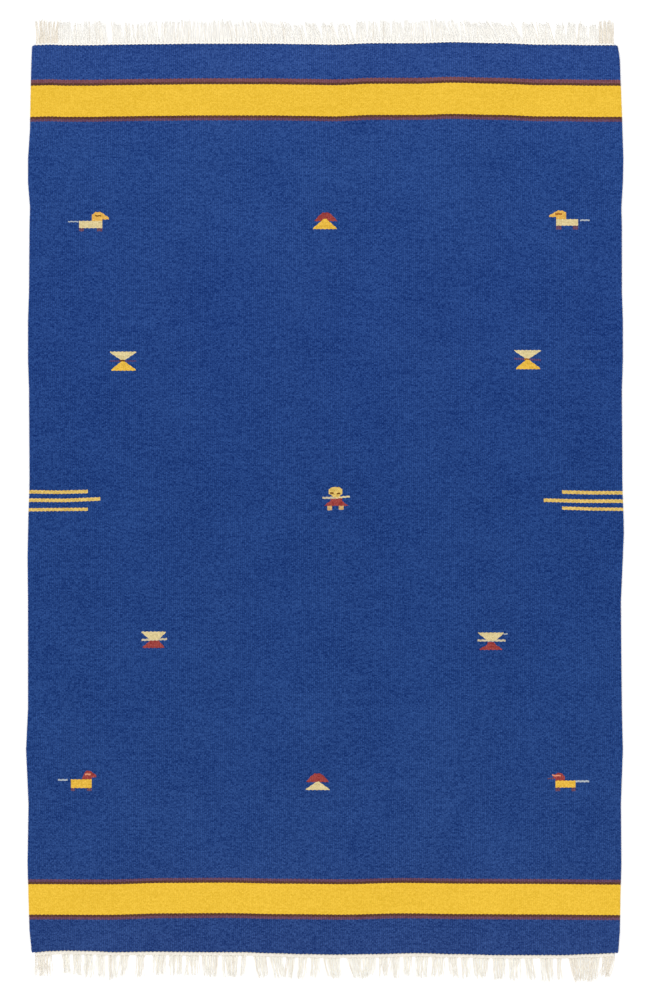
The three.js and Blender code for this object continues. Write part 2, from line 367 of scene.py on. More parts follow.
# Stretches of each fringe, from left to right, as in the part's source: bunches of so many locks,
# places left empty after each bunch, how the locks draw together, their lean and their length. Some
# have their own share of tan yarns.
FAR_FRINGE = [
    {"bunches": 1, "locks": 6, "gather": -0.2, "lean": 0, "length": 49, "tan": 0.9},
    {"bunches": 2, "locks": 4, "gather": 0.2, "lean": -1, "length": 47},
    {"bunches": 1, "locks": 5, "empty": 1, "gather": 0.1, "lean": -6, "length": 46},
    {"bunches": 1, "locks": 3, "gather": 0.3, "lean": -7, "length": 46},
    {"bunches": 3, "locks": 3, "gather": 0.2, "lean": -3, "length": 45},
    {"bunches": 4, "locks": 4, "gather": 0.1, "lean": 2, "length": 46},
    {"bunches": 4, "locks": 3, "gather": 0.2, "lean": -8, "length": 45},
    {"bunches": 3, "locks": 3, "gather": 0.1, "lean": -10, "length": 43},
    {"bunches": 3, "locks": 4, "gather": 0.3, "lean": -11, "length": 44},
    {"bunches": 5, "locks": 3, "gather": 0.25, "lean": -1, "length": 45},
    {"bunches": 1, "locks": 6, "gather": 0.1, "lean": -2, "length": 48},
    {"bunches": 3, "locks": 3, "gather": 0.2, "lean": -11, "length": 43},
    {"bunches": 4, "locks": 3, "gather": 0.1, "lean": -26, "length": 42},
    {"bunches": 2, "locks": 4, "gather": 0.35, "lean": -10, "length": 44},
    {"bunches": 4, "locks": 3, "gather": 0.4, "lean": 0, "length": 44},
    {"bunches": 1, "locks": 4, "gather": 0, "lean": 0, "length": 50, "tan": 1},
]
NEAR_FRINGE = [
    {"bunches": 1, "locks": 4, "empty": 3, "gather": 0.1, "lean": 0, "length": 49, "tan": 0.5},
    {"bunches": 2, "locks": 2, "empty": 1, "gather": 0.4, "lean": 3, "length": 49},
    {"bunches": 3, "locks": 2, "empty": 1, "gather": 0.2, "lean": 0, "length": 55},
    {"bunches": 2, "locks": 2, "empty": 2, "gather": 0.3, "lean": -5, "length": 50},
    {"bunches": 3, "locks": 3, "empty": 1, "gather": 0.2, "lean": 0, "length": 48},
    {"bunches": 2, "locks": 4, "empty": 1, "gather": 0.3, "lean": 0, "length": 50},
    {"bunches": 1, "locks": 1, "empty": 2, "gather": 0, "lean": -4, "length": 50},
    {"bunches": 2, "locks": 3, "empty": 1, "gather": 0.2, "lean": 9, "length": 50},
    {"bunches": 2, "locks": 2, "empty": 1, "gather": 0.3, "lean": -5, "length": 52},
    {"bunches": 1, "locks": 2, "empty": 1, "gather": 0.3, "lean": 0, "length": 47},
    {"bunches": 1, "locks": 4, "empty": 2, "gather": 0.3, "lean": 9, "length": 47},
    {"bunches": 1, "locks": 7, "empty": 1, "gather": 0.45, "lean": 6, "length": 46},
    {"bunches": 3, "locks": 2, "empty": 1, "gather": 0.3, "lean": 0, "length": 47},
    {"bunches": 2, "locks": 3, "empty": 1, "gather": 0.4, "lean": -1, "length": 47},
    {"bunches": 2, "locks": 2, "empty": 1, "gather": 0.3, "lean": 6, "length": 47},
    {"bunches": 1, "locks": 4, "empty": 1, "gather": 0.4, "lean": 2, "length": 48},
    {"bunches": 2, "locks": 3, "empty": 1, "gather": 0.2, "lean": 1, "length": 52},
    {"bunches": 1, "locks": 2, "empty": 2, "gather": 0.3, "lean": 7, "length": 52},
    {"bunches": 1, "locks": 3, "empty": 1, "gather": 0.4, "lean": 2, "length": 52},
    {"bunches": 1, "locks": 1, "empty": 2, "gather": 0, "lean": 0, "length": 52},
    {"bunches": 1, "locks": 8, "empty": 1, "gather": 0.35, "lean": 2, "length": 54, "tan": 0.8},
    {"bunches": 1, "locks": 3, "gather": 0.2, "lean": -9, "length": 48, "tan": 1},
]
FRINGES = {
    "far": {"strip": 4, "strip_shade": "pale", "shade": "pale", "tan": 0.06, "seed": 11,
            "root_spread": 0.9, "tip_spread": 0.7, "stray": 3, "stretches": FAR_FRINGE},
    "near": {"strip": 7.5, "strip_shade": "twine", "shade": "ecru", "tan": 0.28, "seed": 29,
             "root_spread": 1.15, "tip_spread": 1.3, "stray": 12, "stretches": NEAR_FRINGE},
}

# Stage, in metres and degrees. The camera's sensor and the place that it looks at are in millimetres.
CAMERA_HEIGHT = 8
CAMERA_SENSOR = 36
CAMERA_AIM = (0.1, -3.2)
FRAME_LENGTH = 2.027
FLOOR_SIZE = 60
FLOOR_DROP = 0.0003
FLOOR_COLOUR = (0.95, 0.95, 0.95, 1)
FLOOR_ROUGHNESS = 1
FLOOR_SPECULAR = 0
SKY_COLOUR = (1, 1, 1, 1)
SKY_STRENGTH = 1.08
KEY_STRENGTH = 0.61
KEY_ANGLE = 70
KEY_TILT = (28, -22, 0)

# How brightly a white face shows under this light
LIGHT_LEVEL = 1.2


def mix(start, end, share):
    return start + (end - start) * share


def ease(share):
    share = min(max(share, 0), 1)
    return share * share * (3 - 2 * share)


def read_table(rows, place, column, at):
    """Reads a table between its rows, easing from each row to the next."""
    above = [index for index, row in enumerate(rows) if row[place] > at]
    upper = max(above[0], 1) if above else len(rows) - 1
    start = rows[upper - 1]
    end = rows[upper]
    share = ease((at - start[place]) / (end[place] - start[place]))
    return mix(start[column], end[column], share)


@functools.cache
def selvedge_out(side, along):
    """How far a selvedge stands out of the nominal width."""
    return read_table(SELVEDGES, "down", side, CLOTH_LENGTH / 2 - along)


@functools.cache
def end_out(end, share):
    """How far an end stands out of the nominal length, at a share of the way across."""
    return read_table(ENDS, "across", end, share * CLOTH_WIDTH)


@functools.cache
def band_sag(share):
    """How far the near bands sag, at a share of the way across."""
    return read_table(BAND_SAG, "across", "out", share * CLOTH_WIDTH)


@functools.cache
def corner_drop(share):
    """How far a rounded corner pulls the cloth's end in, at a share of the way across."""
    inside = min(share, 1 - share) * CLOTH_WIDTH / CORNER_ROUND
    if inside >= 1:
        return 0
    return CORNER_ROUND * (1 - math.sqrt(1 - (1 - inside) ** 2))


def pull(share, waver):
    """How far a place follows its edge: not at all in the calm middle, fully at the edge."""
    return ease((abs(share) - waver["calm"]) / (waver["full"] - waver["calm"]))


def rib_wander(x, along):
    """How far a rib strays sideways from its straight line."""
    return RIB_WANDER * math.sin(x / WANDER_ACROSS + WANDER_SHIFT * math.sin(along / WANDER_ALONG))


def cloth_point(share, along):
    """Where a place in the weave lies, by its share of the way across and its nominal place along."""
    half_length = CLOTH_LENGTH / 2
    across = 2 * share - 1
    side = "left" if across < 0 else "right"
    end = "near" if along < 0 else "far"
    at_edge = pull(across, SIDE_WAVER)
    from_middle = along / half_length
    y_out = end_out(end, share) * pull(from_middle, END_WAVER[end])
    if end == "near":
        y_out += band_sag(share) * pull(from_middle, SAG_RISE) * (1 - pull(from_middle, SAG_FALL))
    to_end = half_length - abs(along)
    drop = corner_drop(share) * max(1 - to_end / CORNER_REACH, 0)
    straight = across * CLOTH_WIDTH / 2
    x_out = SIGNS[side] * selvedge_out(side, along)
    x = straight + mix(rib_wander(straight, along), x_out, at_edge)
    y = along + SIGNS[end] * (y_out - drop)
    return x, y


# Pattern: patches of one yarn, each a list of corners, laid in order over the bands.


def bar(yarn, left, right, low, high):
    return yarn, [(left, low), (right, low), (right, high), (left, high)]


def wedge(yarn, low, low_span, high, high_span):
    """A patch with a level lower and upper edge, each from its left to its right."""
    corners = [(low_span[0], low), (low_span[1], low), (high_span[1], high), (high_span[0], high)]
    return yarn, corners


def animal(row):
    front = row["long"] / 2
    back = -front
    top = row["high"]
    nape = front - row["neck"]
    shoulder = nape + row["nape_lean"]
    brow = top + row["brow"]
    crown = top + row["crown"]
    forehead = front - CROWN_BACK
    beak = front + row["beak"]
    chin = top + row["beak_low"]
    tail = back - row["gap"]
    foot = row["foot_wide"]
    return [
        bar("mauve", back, back + foot, -row["foot"], 0),
        bar("mauve", front - foot, front, -row["foot"], 0),
        bar(row["body"], back, front, 0, top),
        bar("white", tail - row["tail"], tail, top + row["tail_low"], top + row["tail_high"]),
        wedge(row["head"], top, (nape, front), brow, (shoulder, front)),
        wedge(row["head"], brow, (shoulder, forehead), crown, (forehead - row["crown_wide"], forehead)),
        (row["head"], [(forehead, chin), (beak, chin), (beak, top + row["beak_high"]), (forehead, crown)]),
        bar(row["eye"], front + row["eye_back"], front + row["eye_front"],
            top + row["eye_low"], top + row["eye_high"]),
    ]


def open_beak(row):
    return [bar("mauve", **row["lower"]), ("pink", row["upper"])]


def plain_hourglass(row):
    low = row["bar_low"]
    high = row["bar_high"]
    tilt = row["tilt"]
    reach = PLAIN_BAR_REACH
    upper = UPPER_CUP
    lower = LOWER_CUP
    return [
        ("plum", [(-reach, low + tilt), (reach, low - tilt), (reach, high - tilt), (-reach, high + tilt)]),
        wedge("cream", upper["neck"], upper["neck_span"], upper["rim"], upper["rim_span"]),
        bar("cream", *upper["rim_span"], upper["rim"], upper["lip"]),
        bar(row["waist"], **PLAIN_WAIST),
        wedge("amber", lower["rim"], lower["rim_span"], lower["neck"], lower["neck_span"]),
        bar("amber", *lower["rim_span"], lower["lip"], lower["rim"]),
    ]


def barred_hourglass(row):
    left = row["left"]
    right = row["right"]
    rise = row["rise"]
    half = BARRED["bar_half"]
    foot = BARRED["foot_span"]
    hem = BARRED["lip"] - row["foot"]
    hips = row["hips"]
    hips_span = (2 * BARRED["hips_middle"] - row["hips_right"], row["hips_right"])
    rim = BARRED["rim_span"]
    top = row["top"]
    brim = top - BARRED["lip"]
    stray = (top + BARRED["stray_low"], top + BARRED["stray_high"])
    return [
        bar("red", *foot, -row["foot"], hem),
        wedge("red", hem, foot, hips, hips_span),
        wedge("red", hips, hips_span, row["red_top"], (BARRED["waist_left"], row["waist"])),
        ("ash", [(left, -half), (right, rise - half), (right, rise + half), (left, half)]),
        wedge("cream", 0, BARRED["neck_span"], brim, rim),
        bar("cream", *rim, brim, top),
        bar("white", rim[1], rim[1] + row["stray"], *stray),
    ]


def tent(row):
    halves = [TENT_ROOF[part] for part in ("eaves_half", "knee_half", "peak_half")]
    eaves, knee, peak = [(row["roof"] - half, row["roof"] + half) for half in halves]
    wall = TENT_WALL
    return [
        wedge("red", TENT_ROOF["eaves"], eaves, TENT_ROOF["knee"], knee),
        wedge("red", TENT_ROOF["knee"], knee, TENT_ROOF["peak"], peak),
        bar(row["wall"], *wall["span"], 0, wall["hem"]),
        wedge(row["wall"], wall["hem"], wall["span"], row["apex"], wall["apex_span"]),
    ]


def figure(row):
    return [
        *(bar("camel", **leg) for leg in row["legs"]),
        *(wedge("red", **tier) for tier in row["dress"]),
        *row["arms"],
        *(wedge("straw", **tier) for tier in row["head"]),
        *(bar("umber", **eye) for eye in row["eyes"]),
    ]


def comb_bar(row):
    """A bar from a selvedge to its tip, along a gently bent middle line."""
    edge = SIGNS[row["side"]] * CLOTH_WIDTH / 2
    tip = row["tip"]
    half = row["high"] / 2
    line = list(zip((edge, (edge + tip) / 2, tip), row["line"]))
    upper = [(x, y + half) for x, y in line]
    lower = [(x, y - half) for x, y in reversed(line)]
    return COMB_YARN, upper + lower


def laid(patches, row):
    """Moves patches to a motif's place, turned to face the other way where it says so."""
    facing = row.get("facing", 1)
    moved = []
    for yarn, corners in patches:
        moved.append((yarn, [(row["x"] + facing * x, row["y"] + y) for x, y in corners]))
    return moved


def all_patches():
    kinds = [
        (animal, ANIMALS),
        (open_beak, [OPEN_BEAK]),
        (plain_hourglass, PLAIN_HOURGLASSES),
        (barred_hourglass, BARRED_HOURGLASSES),
        (tent, TENTS),
        (figure, [FIGURE]),
    ]
    patches = [comb_bar(row) for row in COMB_BARS]
    for draw, rows in kinds:
        for row in rows:
            patches += laid(draw(row), row)
    return patches


def band_spans():
    """The bands and the field as spans along the rug, each from low to high with its yarn."""
    spans = [(-CLOTH_LENGTH / 2, CLOTH_LENGTH / 2, FIELD_YARN)]
    for end, rows in BANDS.items():
        edge = CLOTH_LENGTH / 2
        for row in rows:
            inner = edge - row["high"]
            low, high = sorted((SIGNS[end] * inner, SIGNS[end] * edge))
            spans.append((low, high, row["yarn"]))
            edge = inner
    return spans


def crossing(corners, x):
    """Where a line along the rug enters and leaves a patch, or nothing."""
    crossings = []
    for start, end in zip(corners, corners[1:] + corners[:1]):
        low, high = sorted((start[0], end[0]))
        if low <= x <= high and low < high:
            crossings.append(mix(start[1], end[1], (x - start[0]) / (end[0] - start[0])))
    if not crossings:
        return None
    return round(min(crossings), EDGE_DECIMALS), round(max(crossings), EDGE_DECIMALS)


class Column:
    """A narrow column of the weave between two lines, with its changes of yarn along the rug."""

    def __init__(self, left, right, bands, patches, rows):
        self.left_x = left
        self.right_x = right
        self.breaks = {}
        self.spans = []
        for row in rows:
            self.add_break(row, row, row)
        for low, high, yarn in bands:
            self.add_break(low, low, low)
            self.add_break(high, high, high)
            self.spans.append((low, high, yarn))
        for yarn, corners in patches:
            self.add_patch(yarn, corners)
        keys = sorted(self.breaks)
        self.yarns = [self.yarn_at((low + high) / 2) for low, high in zip(keys, keys[1:])]
        self.left = list(itertools.accumulate((self.breaks[key][0] for key in keys), max))
        self.right = list(itertools.accumulate((self.breaks[key][1] for key in keys), max))

    def add_break(self, middle, left, right):
        self.breaks.setdefault(middle, (left, right))

    def add_patch(self, yarn, corners):
        """Adds a patch that covers the column's middle, with edges as slanted as the patch's own."""
        middle = crossing(corners, (self.left_x + self.right_x) / 2)
        if not middle or middle[1] - middle[0] < LEAST_PATCH:
            return
        left = crossing(corners, max(self.left_x, min(x for x, _y in corners)))
        right = crossing(corners, min(self.right_x, max(x for x, _y in corners)))
        self.add_break(middle[0], left[0], right[0])
        self.add_break(middle[1], left[1], right[1])
        self.spans.append((*middle, yarn))

    def yarn_at(self, along):
        return [yarn for low, high, yarn in self.spans if low < along < high][-1]


def line_place(number):
    """A line's place across, counted in ribs: some lines make up each rib, one of them in the valley."""
    return number // len(RIB_LINES) + RIB_LINES[number % len(RIB_LINES)]


def cloth_rows():
    """The cloth's rows: where the selvedges turn, halfway over long steps, and close to both ends."""
    half = CLOTH_LENGTH / 2
    turns = [half - row["down"] for row in SELVEDGES]
    halfway = [(start + end) / 2 for start, end in zip(turns, turns[1:]) if start - end > LONGEST_STEP]
    inner = [half - EDGE_ROLL, half - CORNER_REACH]
    return turns + halfway + inner + [-row for row in inner]


def between(line, low, high):
    return [pair for along, pair in line.items() if low <= along <= high]


class Sheet:
    """A closed ribbed sheet of columns, whose lines have a vertex wherever a yarn changes."""

    def __init__(self, columns, point, height):
        self.columns = columns
        self.point = point
        self.height = height
        self.places = []
        self.weave = []
        self.faces = []
        self.yarns = []
        left = self.add_line(0)
        for number, column in enumerate(columns):
            right = self.add_line(number + 1)
            self.fill_column(column, left, right)
            left = right

    def line_breaks(self, number):
        """The places along a line where the columns on both sides of it change their yarn."""
        breaks = set()
        if number > 0:
            breaks |= set(self.columns[number - 1].right)
        if number < len(self.columns):
            breaks |= set(self.columns[number].left)
        return sorted(breaks)

    def add_line(self, number):
        """Adds a line's vertices on both faces, and returns them by their place along the rug."""
        breaks = self.line_breaks(number)
        place = line_place(number)
        rib = math.floor(place)
        selvedge = number in (0, len(self.columns))
        lean = math.sin(math.pi * (place - rib)) * (HALF if rib % 2 else -HALF)
        dip = RIB_RELIEF if place == rib else 0
        share = place / line_place(len(self.columns))
        line = {}
        for along in breaks:
            at_end = along in (breaks[0], breaks[-1])
            x, y = self.point(share, along)
            y += lean * (TOOTH_DEPTH if at_end else STEP_DEPTH)
            weave = (place * RIB_PITCH, along)
            if selvedge or at_end:
                middle = self.add_vertex((x, y, self.height / 2), weave)
                line[along] = (middle, middle)
            else:
                upper = self.add_vertex((x, y, self.height - dip), weave)
                lower = self.add_vertex((x, y, dip), weave)
                line[along] = (upper, lower)
        return line

    def add_vertex(self, place, weave):
        self.places.append(place)
        self.weave.append(weave)
        return len(self.places) - 1

    def fill_column(self, column, left, right):
        for number, yarn in enumerate(column.yarns):
            rising = between(right, column.right[number], column.right[number + 1])
            falling = between(left, column.left[number], column.left[number + 1])[::-1]
            ring = rising + falling
            if len(ring) >= LEAST_CORNERS:
                self.faces.append([upper for upper, _lower in ring])
                self.faces.append([lower for _upper, lower in reversed(ring)])
                self.yarns += [yarn, yarn]


def place_mesh(name, places, faces, weave, shift):
    """Makes an object in metres, with the weave's coordinates and a flat layout as UV maps."""
    places = np.array(places) + np.array(shift)
    mesh = bpy.data.meshes.new(name)
    mesh.from_pydata([tuple(place) for place in places * METRES], [], faces)
    corners = np.zeros(len(mesh.loops), np.int32)
    mesh.loops.foreach_get("vertex_index", corners)
    low = places.min(0)
    high = places.max(0)
    flat = (places - low)[:, :2] / (high - low)[:2]
    for title, values in (("Weave", np.array(weave)), ("OFBake", flat)):
        layer = mesh.uv_layers.new(name=title)
        layer.data.foreach_set("uv", values[corners].astype(np.float32).ravel())
    mesh.polygons.foreach_set("use_smooth", np.ones(len(mesh.polygons), bool))
    mesh.update()
    piece = bpy.data.objects.new(name, mesh)
    bpy.context.scene.collection.objects.link(piece)
    return piece


# Materials

# The share of light left in the joints between beads of weft, in a black and in a white yarn
JOINT_SHADE = {"black": 0.3, "white": 0.98}

# How far a bead fills its place, on the whole
BEAD_FILL = (2 / math.pi) ** 2


def light_values(colour):
    """Turns a colour as the eye sees it into light values."""
    shares = [min(max(part, 0), FULL_COLOUR) / FULL_COLOUR for part in colour]
    return np.array(Color(shares).from_srgb_to_scene_linear())


def dyed(colour, lift):
    """The paint that shows a colour under this light, lifted where neighbours take some light away."""
    return (*light_values(colour) * lift / LIGHT_LEVEL, 1)


def joint_shade(colour):
    """The share of light left in a yarn's joints, which a light yarn brightens by itself."""
    return mix(JOINT_SHADE["black"], JOINT_SHADE["white"], max(colour) / FULL_COLOUR)


def shades(colour, fleck):
    """A dark and a light shade of a colour, which show that colour between them and the painted shade in
    the joints.
    """
    dark = light_values([part - fleck for part in colour])
    light = light_values([part + fleck for part in colour])
    shown = LIGHT_LEVEL * mix(joint_shade(colour), 1, BEAD_FILL)
    fit = light_values(colour) * 2 / (dark + light) / shown
    return (*dark * fit, 1), (*light * fit, 1)


# The mix node's sockets for a share, a start colour and an end colour, and for the colour it gives
MIX_INPUTS = (0, 6, 7)
MIX_OUTPUT = 2

# The noise of the soft patches, over places counted in patches
PATCH_SCALE = 1
PATCH_DETAIL = 2


class Nodes:
    """Short ways to add and link shader nodes in one material."""

    def __init__(self, name):
        self.material = bpy.data.materials.new(name)
        self.material.use_nodes = True
        self.tree = self.material.node_tree
        self.shader = self.tree.nodes["Principled BSDF"]

    def add(self, kind, inputs, **settings):
        node = self.tree.nodes.new(kind)
        for key, value in settings.items():
            setattr(node, key, value)
        for key, value in inputs.items():
            self.set(node.inputs[key], value)
        return node

    def set(self, socket, value):
        if isinstance(value, bpy.types.NodeSocket):
            self.tree.links.new(value, socket)
        else:
            socket.default_value = value

    def calc(self, operation, *values):
        inputs = dict(enumerate(values))
        return self.add("ShaderNodeMath", inputs, operation=operation).outputs[0]

    def join(self, x, y):
        return self.add("ShaderNodeCombineXYZ", {"X": x, "Y": y}).outputs[0]

    def noise(self, vector, scale, detail):
        inputs = {"Vector": vector, "Scale": scale, "Detail": detail}
        return self.add("ShaderNodeTexNoise", inputs).outputs["Fac"]

    def patchy(self, across, along, width, length):
        """A soft random value in patches of about this width across and length along."""
        place = self.join(self.calc("DIVIDE", across, width), self.calc("DIVIDE", along, length))
        return self.noise(place, PATCH_SCALE, PATCH_DETAIL)

    def chance(self, vector):
        inputs = {"Vector": vector}
        return self.add("ShaderNodeTexWhiteNoise", inputs, noise_dimensions="2D").outputs["Value"]

    def arch(self, place):
        """Rises from nothing to one and back over each whole step of a place."""
        return self.calc("SINE", self.calc("MULTIPLY", self.calc("FRACT", place), math.pi))

    def blend(self, share, start, end, kind="MIX"):
        node = self.add("ShaderNodeMix", {}, data_type="RGBA", blend_type=kind)
        for number, value in zip(MIX_INPUTS, (share, start, end)):
            self.set(node.inputs[number], value)
        return node.outputs[MIX_OUTPUT]

    def dim(self, colour, share, least):
        """Dims a colour, down to its least share of light where the given share is one."""
        return self.blend(share, colour, (least, least, least, 1), "MULTIPLY")

    def weave(self):
        uv = self.add("ShaderNodeUVMap", {}, uv_map="Weave").outputs[0]
        split = self.add("ShaderNodeSeparateXYZ", {"Vector": uv})
        return split.outputs["X"], split.outputs["Y"]


# How much each bead's own shade counts, and the soft patches of shade: fine mottle, streaks of weft
# and broad clouds.
BEAD_SHARE = 0.5
SHADE_PATCHES = [
    {"wide": 1.8, "long": 3.4, "share": 1.9},
    {"wide": 90, "long": 5, "share": 0.35},
    {"wide": 150, "long": 120, "share": 0.3},
]

# Both yarns' finish
YARN_ROUGHNESS = 0.95
YARN_SPECULAR = 0.03
WOOL_SHEEN = 0.03
COTTON_SHEEN = 0.25
SHEEN_ROUGHNESS = 0.5

# How high a bead stands, in metres, how strongly that shows, and the fibres on it
BEAD_HEIGHT = 0.0005
BEAD_STRENGTH = 0.7
FIBRE_SCALE = 1.1
FIBRE_DETAIL = 3
FIBRE_SHARE = 0.35


def wool(name):
    """Weft yarn over the ribs: rounded beads with painted shade in the joints, in softly uneven shades."""
    colour = YARNS[name]["colour"]
    fleck = YARNS[name]["fleck"]
    nodes = Nodes(name + "_wool")
    across, along = nodes.weave()
    flat = nodes.join(across, along)
    rib = nodes.calc("DIVIDE", across, RIB_PITCH)
    odd = nodes.calc("MODULO", nodes.calc("FLOOR", rib), 2)
    pick = nodes.calc("MULTIPLY_ADD", odd, HALF, nodes.calc("DIVIDE", along, PICK_PITCH))
    each = nodes.chance(nodes.join(nodes.calc("FLOOR", rib), nodes.calc("FLOOR", pick)))
    tone = nodes.calc("MULTIPLY_ADD", each, BEAD_SHARE, HALF - BEAD_SHARE / 2)
    for row in SHADE_PATCHES:
        patch = nodes.patchy(across, along, row["wide"], row["long"])
        tone = nodes.calc("MULTIPLY_ADD", nodes.calc("SUBTRACT", patch, HALF), row["share"], tone)
    if name == FIELD_YARN:
        dark, light = abrash(nodes, along, fleck)
    else:
        dark, light = shades(colour, fleck)
    # Painted shade: the colour is darkened in the joints between beads, where shadow falls between the
    # yarns.
    bead = nodes.calc("MULTIPLY", nodes.arch(rib), nodes.arch(pick))
    joint = nodes.calc("SUBTRACT", 1.0, bead)
    shaded = nodes.dim(nodes.blend(tone, dark, light), joint, joint_shade(colour))
    nodes.set(nodes.shader.inputs["Base Color"], shaded)
    height = nodes.calc("MULTIPLY_ADD", nodes.noise(flat, FIBRE_SCALE, FIBRE_DETAIL), FIBRE_SHARE, bead)
    finish_cloth(nodes, height, WOOL_SHEEN)
    return nodes.material


def abrash(nodes, along, fleck):
    """The field's slow change of shade along the rug, as a dark and a light ramp."""
    share = nodes.calc("MULTIPLY_ADD", along, 1 / CLOTH_LENGTH, HALF)
    pairs = [shades(row["colour"], fleck) for row in ABRASH]
    ramps = []
    for colours in zip(*pairs):
        node = nodes.add("ShaderNodeValToRGB", {"Fac": share})
        stops = node.color_ramp.elements
        while len(stops) < len(ABRASH):
            stops.new(HALF)
        for stop, row, colour in zip(stops, ABRASH, colours):
            stop.position = row["along"]
            stop.color = colour
        ramps.append(node.outputs["Color"])
    return ramps


def finish_cloth(nodes, height, sheen):
    inputs = {"Strength": BEAD_STRENGTH, "Distance": BEAD_HEIGHT, "Height": height}
    bump = nodes.add("ShaderNodeBump", inputs)
    sockets = nodes.shader.inputs
    nodes.set(sockets["Normal"], bump.outputs["Normal"])
    sockets["Roughness"].default_value = YARN_ROUGHNESS
    sockets["Specular IOR Level"].default_value = YARN_SPECULAR
    sockets["Sheen Weight"].default_value = sheen
    sockets["Sheen Roughness"].default_value = SHEEN_ROUGHNESS


# The twist of a cotton yarn, the soft noise along it, and the share of the yarn's own shade against it
TWIST_PITCH = 2.4
SOFT_SCALE = 0.4
SOFT_DETAIL = 3
SOFT_AROUND = 3
OWN_SHADE_SHARE = 0.5


def cotton(name):
    """Plied warp ends: each yarn has its own shade, with a twist along it."""
    nodes = Nodes(name + "_cotton")
    around, along = nodes.weave()
    yarn = nodes.calc("FLOOR", around)
    shade = nodes.chance(nodes.join(yarn, 0.0))
    ply = nodes.arch(nodes.calc("MULTIPLY_ADD", along, 1 / TWIST_PITCH, around))
    place = nodes.join(nodes.calc("MULTIPLY", around, SOFT_AROUND), along)
    soft = nodes.noise(place, SOFT_SCALE, SOFT_DETAIL)
    tone = nodes.calc("MULTIPLY_ADD", nodes.calc("SUBTRACT", shade, soft), OWN_SHADE_SHARE, soft)
    dark, light = [dyed(COTTON[name][depth], COTTON_LIFT) for depth in ("dark", "light")]
    colour = nodes.blend(tone, dark, light)
    nodes.set(nodes.shader.inputs["Base Color"], colour)
    finish_cloth(nodes, ply, COTTON_SHEEN)
    return nodes.material


# Fringe meshes


def end_root(end, share):
    """A place on the cloth's end, clear of its rounded corners."""
    inset = STRIP_INSET / RIBS
    return cloth_point(mix(inset, 1 - inset, share), SIGNS[end] * CLOTH_LENGTH / 2)


def lay_locks(end, chance):
    """Each lock's root on the cloth's edge, how far its tip shifts sideways, and its length."""
    stretches = FRINGES[end]["stretches"]
    places = sum(row["bunches"] * (row["locks"] + row.get("empty", 0)) for row in stretches)
    pitch = (end_root(end, 1)[0] - end_root(end, 0)[0]) / places
    locks = []
    place = 0
    for row in stretches:
        for _bunch in range(row["bunches"]):
            middle = place + (row["locks"] - 1) / 2
            for _lock in range(row["locks"]):
                shift = row["lean"] + (middle - place) * pitch * row["gather"]
                length = row["length"] + chance.uniform(-LENGTH_VARIATION, LENGTH_VARIATION)
                root = end_root(end, (place + HALF) / places)
                tan = row.get("tan", FRINGES[end]["tan"])
                locks.append(
                    {"root": root, "pitch": pitch, "shift": shift, "length": length, "tan": tan}
                )
                place += 1
            place += row.get("empty", 0)
    for before, lock in zip(locks, locks[1:]):
        least = before["root"][0] + before["shift"] + TIP_SPACING
        lock["shift"] = max(lock["shift"], least - lock["root"][0])
    return locks


def yarn_path(end, lock, number, chance):
    """A free warp end: out of the strip, then down on to the floor, wandering a little."""
    strip = FRINGES[end]["strip"]
    from_middle = number - (YARNS_IN_LOCK - 1) / 2
    spacing = lock["pitch"] / YARNS_IN_LOCK
    jitter = chance.uniform(-ROOT_JITTER, ROOT_JITTER)
    root_offset = from_middle * spacing * FRINGES[end]["root_spread"] + jitter
    stray = FRINGES[end]["stray"] * chance.uniform(-1, 1) ** STRAY_POWER
    tip_offset = from_middle * spacing * FRINGES[end]["tip_spread"] + stray
    sway = chance.uniform(*YARN_SWAY)
    turns = chance.uniform(*YARN_TURNS)
    phase = chance.uniform(0, 2 * math.pi)
    length = lock["length"] + chance.uniform(*YARN_LENGTH_CHANGE)
    rest = YARN_RADIUS * YARN_FLATNESS + chance.choice(YARN_HEIGHTS)
    start = strip - YARN_TUCK
    points = []
    for step in range(YARN_STEPS + 1):
        share = step / YARN_STEPS
        out = mix(start, length, share)
        lean = lock["shift"] * (max(out - strip, 0) / LEAN_REACH) ** LEAN_BEND
        wave = sway * ease(share * SWAY_RATE) * math.sin(2 * math.pi * turns * share + phase)
        x = lock["root"][0] + lean + mix(root_offset, tip_offset, share) + wave
        y = lock["root"][1] + SIGNS[end] * out
        z = mix(STRIP_HEIGHT / 2, rest, ease(share * SETTLE_RATE))
        points.append(Vector((x, y, z)))
    return points


def add_tube(points, number, places, weave, faces):
    """A yarn as a tube that thins to its tip, with its number and length as weave coordinates."""
    count = len(points)
    first = len(places)
    sides = YARN_SIDES
    travelled = 0
    for index, point in enumerate(points):
        before = points[max(index - 1, 0)]
        after = points[min(index + 1, count - 1)]
        direction = (after - before).normalized()
        flat = direction.cross(UP).normalized()
        rise = flat.cross(direction)
        share = index / (count - 1)
        thinned = ease((share - THINS_FROM) / (1 - THINS_FROM))
        radius = YARN_RADIUS * mix(1, TIP_THICKNESS, thinned)
        travelled += (point - before).length
        for side in range(sides + 1):
            angle = 2 * math.pi * side / sides
            place = point + radius * (math.cos(angle) * flat + math.sin(angle) * YARN_FLATNESS * rise)
            places.append((place.x, place.y, max(place.z, 0)))
            around = mix(SEAM_MARGIN, 1 - SEAM_MARGIN, side / sides)
            weave.append((number + around, travelled))
    ring = sides + 1
    for index in range(count - 1):
        low = first + index * ring
        for side in range(sides):
            faces.append([low + side, low + side + 1, low + side + 1 + ring, low + side + ring])
    last = first + (count - 1) * ring
    faces.append([first + side for side in reversed(range(sides))])
    faces.append([last + side for side in range(sides)])


class StripColumn:
    """A column of the narrow strip at the roots, all of one yarn."""

    def __init__(self, breaks):
        self.left = breaks
        self.right = breaks
        self.yarns = ["cotton"] * (len(breaks) - 1)


